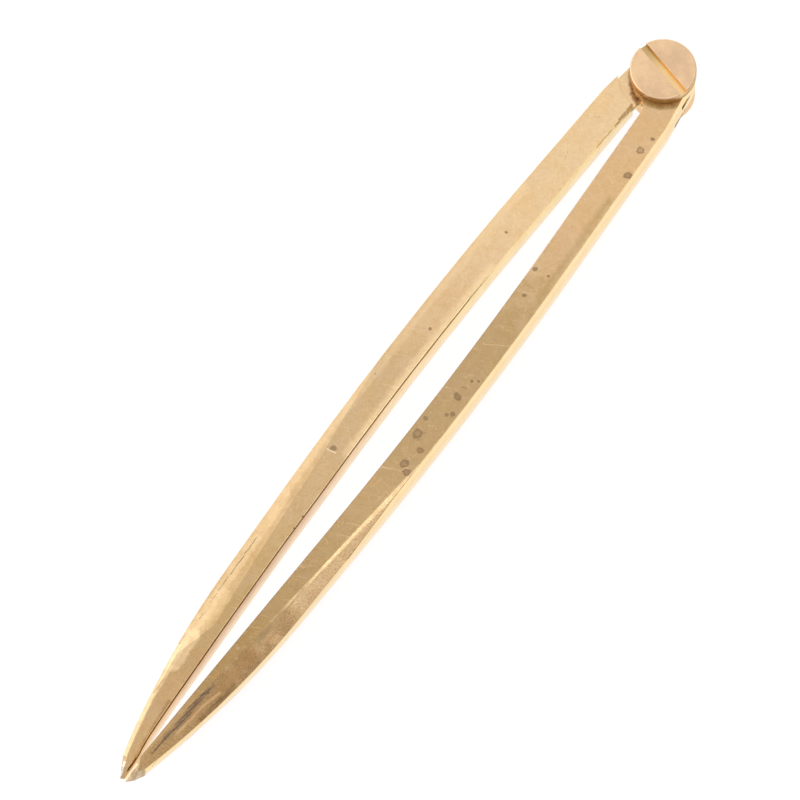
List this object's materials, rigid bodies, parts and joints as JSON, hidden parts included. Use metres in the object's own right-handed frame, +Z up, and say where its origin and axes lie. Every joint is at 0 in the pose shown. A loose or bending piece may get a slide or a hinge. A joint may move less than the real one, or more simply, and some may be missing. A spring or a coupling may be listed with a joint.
{
  "type": "chart divider",
  "caption": "Brass chart divider: bowed legs that close tip to tip, turning on a fork and tongue hinge held by a slotted pivot screw and a round nut.",
  "frame": {"origin": "on the hinge axis, at the flat underside of the pivot nut", "axes": "+Z up along the hinge axis towards the screw head, -Y from the hinge towards the tips of the closed legs, +X to the side of the front leg"},
  "size_m": [0.0166, 0.1599, 0.0096],
  "materials": {
    "leg_brass": "worn, brushed along the legs, with ground bevels and a few tarnish spots",
    "screw_brass": "satin turned, a little redder than the legs"
  },
  "bodies": {
    "rear_half": {"rear_leg": "leg_brass", "pivot_nut": "screw_brass"},
    "front_half": {"front_leg": "leg_brass"},
    "screw": {"pivot_screw": "screw_brass"}
  },
  "joints": [
    {"name": "leg_hinge", "type": "hinge", "parent": "rear_half", "child": "front_half", "pos_m": [0, 0, 0.00555], "axis": [0, 0, 1], "range_deg": [0, 180]},
    {"name": "screw_turn", "type": "hinge", "parent": "rear_half", "child": "screw", "pos_m": [0, 0, 0.0086], "axis": [0, 0, 1], "range_deg": [-15, 90]}
  ]
}
